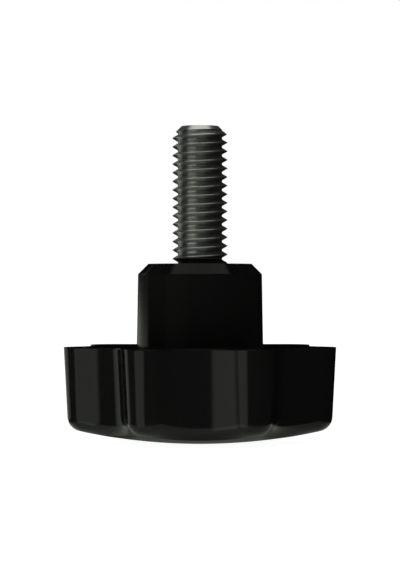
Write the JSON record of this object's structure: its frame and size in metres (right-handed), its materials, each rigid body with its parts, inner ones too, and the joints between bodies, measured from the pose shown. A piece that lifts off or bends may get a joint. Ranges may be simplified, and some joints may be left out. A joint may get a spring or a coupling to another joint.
{
  "type": "adjusting screw",
  "caption": "Hand adjusting screw: a moulded black lobe knob with a tall hub and a steel stud moulded into it.",
  "frame": {"origin": "centre of the hub's bearing face, on the stud's axis", "axes": "+Z along the stud, from the bearing face to its tip; a flute of the head faces -Y and one lobe's tip lies on +Y"},
  "size_m": [0.0392, 0.0383, 0.046],
  "materials": {
    "grip_plastic": "polished black thermoset moulding",
    "stud_steel": "rolled M8 thread with a dark oxide finish"
  },
  "bodies": {
    "root": {"grip": "grip_plastic", "stud": "stud_steel"}
  },
  "joints": []
}
